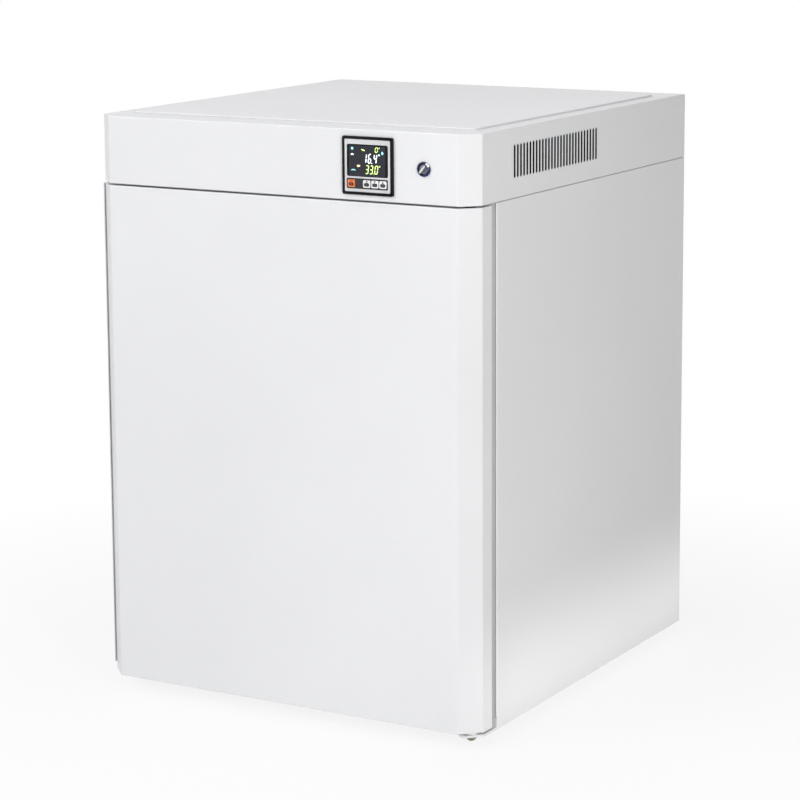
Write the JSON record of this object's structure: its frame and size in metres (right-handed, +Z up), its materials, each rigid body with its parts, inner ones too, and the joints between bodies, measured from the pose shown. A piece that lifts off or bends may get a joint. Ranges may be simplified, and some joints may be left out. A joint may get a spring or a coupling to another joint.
{
  "type": "water-jacketed incubator",
  "caption": "Floor-standing laboratory incubator with a water-jacketed chamber, an insulated outer door over a glass inner door, and a control header with a display.",
  "frame": {"origin": "on the floor under the middle of the whole object", "axes": "+Z up, -Y out of the door, +X to the right seen from the front"},
  "size_m": [0.5654, 0.6668, 0.7715],
  "materials": {
    "white_paint": "satin",
    "grey_plastic": "satin",
    "black_plastic": "satin",
    "white_plastic": "satin",
    "silver_plastic": "satin",
    "orange_plastic": "satin",
    "red_plastic": "satin",
    "dark_window": "gloss",
    "black_rubber": "matte",
    "grey_rubber": "matte",
    "white_rubber": "matte",
    "foam": "matte",
    "stainless": "satin",
    "zinc_steel": "satin",
    "aluminium": "satin",
    "chrome": "polished",
    "brass": "satin",
    "glass": "gloss"
  },
  "bodies": {
    "cabinet": {"cabinet_case": "white_paint", "back_panel": "white_paint", "front_frame": "grey_plastic", "header_housing": "white_paint", "header_floor": "zinc_steel", "top_cover": "white_paint", "header_back": "white_paint", "header_screw_left": "white_paint", "header_screw_right": "white_paint", "chamber_liner": "stainless", "water_tank": "stainless", "insulation_wrap": "foam", "insulation_back": "foam", "immersion_heater": "stainless", "level_sensor": "grey_plastic", "temperature_probe": "stainless", "filler_neck": "stainless", "overflow_pipe": "stainless", "drain_valve": "brass", "shelf_rack_left": "stainless", "shelf_rack_right": "stainless", "shelf_lower": "stainless", "shelf_upper": "stainless", "duct_cover": "stainless", "fan_motor": "zinc_steel", "hinge_pin_upper": "zinc_steel", "hinge_pin_lower": "zinc_steel", "hinge_bracket_lower": "white_paint", "inner_hinge_upper": "stainless", "inner_hinge_lower": "stainless", "controller_bezel": "black_plastic", "controller_face": "silver_plastic", "controller_window": "dark_window", "controller_body": "black_plastic", "power_switch_bezel": "chrome", "heat_sink": "aluminium", "mains_inlet": "black_plastic"},
    "outer_door": {"door_skin": "white_paint", "door_insulation": "foam", "door_liner": "stainless", "door_gasket": "grey_rubber", "door_grip": "grey_plastic", "hinge_bush_upper": "black_plastic", "hinge_bush_lower": "white_plastic"},
    "inner_door": {"inner_door_glass": "glass", "inner_door_frame": "aluminium", "inner_door_gasket": "white_rubber", "inner_door_knob": "black_plastic"},
    "fan_impeller": {"fan_impeller": "black_plastic"},
    "key_set": {"key_set": "orange_plastic"},
    "key_shift": {"key_shift": "white_plastic"},
    "key_down": {"key_down": "white_plastic"},
    "key_up": {"key_up": "white_plastic"},
    "power_switch_knob": {"power_switch_knob": "chrome"},
    "filler_cap": {"filler_cap": "black_plastic"},
    "drain_lever": {"drain_lever": "red_plastic"},
    "foot_front_left": {"foot_front_left": "black_rubber"},
    "foot_front_right": {"foot_front_right": "black_rubber"},
    "foot_rear_left": {"foot_rear_left": "black_rubber"},
    "foot_rear_right": {"foot_rear_right": "black_rubber"}
  },
  "joints": [
    {"name": "outer_door_hinge", "type": "hinge", "parent": "cabinet", "child": "outer_door", "pos_m": [0.2648, -0.3066, 0.02], "axis": [0, 0, 1], "range_deg": [0, 120]},
    {"name": "inner_door_hinge", "type": "hinge", "parent": "cabinet", "child": "inner_door", "pos_m": [0.2128, -0.2581, 0.351], "axis": [0, 0, 1], "range_deg": [0, 96]},
    {"name": "fan_spin", "type": "hinge", "parent": "cabinet", "child": "fan_impeller", "pos_m": [0.0008, 0.1564, 0.351], "axis": [0, 1, 0], "continuous": true},
    {"name": "key_set_press", "type": "slide", "parent": "cabinet", "child": "key_set", "axis": [0, 1, 0], "range_m": [0, 0.0008], "stiffness_N_per_m": 800, "springref_m": -0.0005},
    {"name": "key_shift_press", "type": "slide", "parent": "cabinet", "child": "key_shift", "axis": [0, 1, 0], "range_m": [0, 0.0008], "stiffness_N_per_m": 800, "springref_m": -0.0005},
    {"name": "key_down_press", "type": "slide", "parent": "cabinet", "child": "key_down", "axis": [0, 1, 0], "range_m": [0, 0.0008], "stiffness_N_per_m": 800, "springref_m": -0.0005},
    {"name": "key_up_press", "type": "slide", "parent": "cabinet", "child": "key_up", "axis": [0, 1, 0], "range_m": [0, 0.0008], "stiffness_N_per_m": 800, "springref_m": -0.0005},
    {"name": "power_switch_turn", "type": "hinge", "parent": "cabinet", "child": "power_switch_knob", "pos_m": [0.2128, -0.3276, 0.7247], "axis": [0, -1, 0], "range_deg": [0, 90]},
    {"name": "filler_cap_lift", "type": "slide", "parent": "cabinet", "child": "filler_cap", "axis": [0, 0, 1], "range_m": [0, 0.03]},
    {"name": "drain_lever_turn", "type": "hinge", "parent": "cabinet", "child": "drain_lever", "pos_m": [0.1908, 0.3042, 0.1041], "axis": [0, 0, -1], "range_deg": [0, 90]},
    {"name": "foot_front_left_level", "type": "slide", "parent": "cabinet", "child": "foot_front_left", "axis": [0, 0, -1], "range_m": [0, 0.008]},
    {"name": "foot_front_right_level", "type": "slide", "parent": "cabinet", "child": "foot_front_right", "axis": [0, 0, -1], "range_m": [0, 0.008]},
    {"name": "foot_rear_left_level", "type": "slide", "parent": "cabinet", "child": "foot_rear_left", "axis": [0, 0, -1], "range_m": [0, 0.008]},
    {"name": "foot_rear_right_level", "type": "slide", "parent": "cabinet", "child": "foot_rear_right", "axis": [0, 0, -1], "range_m": [0, 0.008]}
  ],
  "couplings": [
    {"joint": "inner_door_hinge", "follows": "outer_door_hinge", "ratio": 0.8}
  ]
}
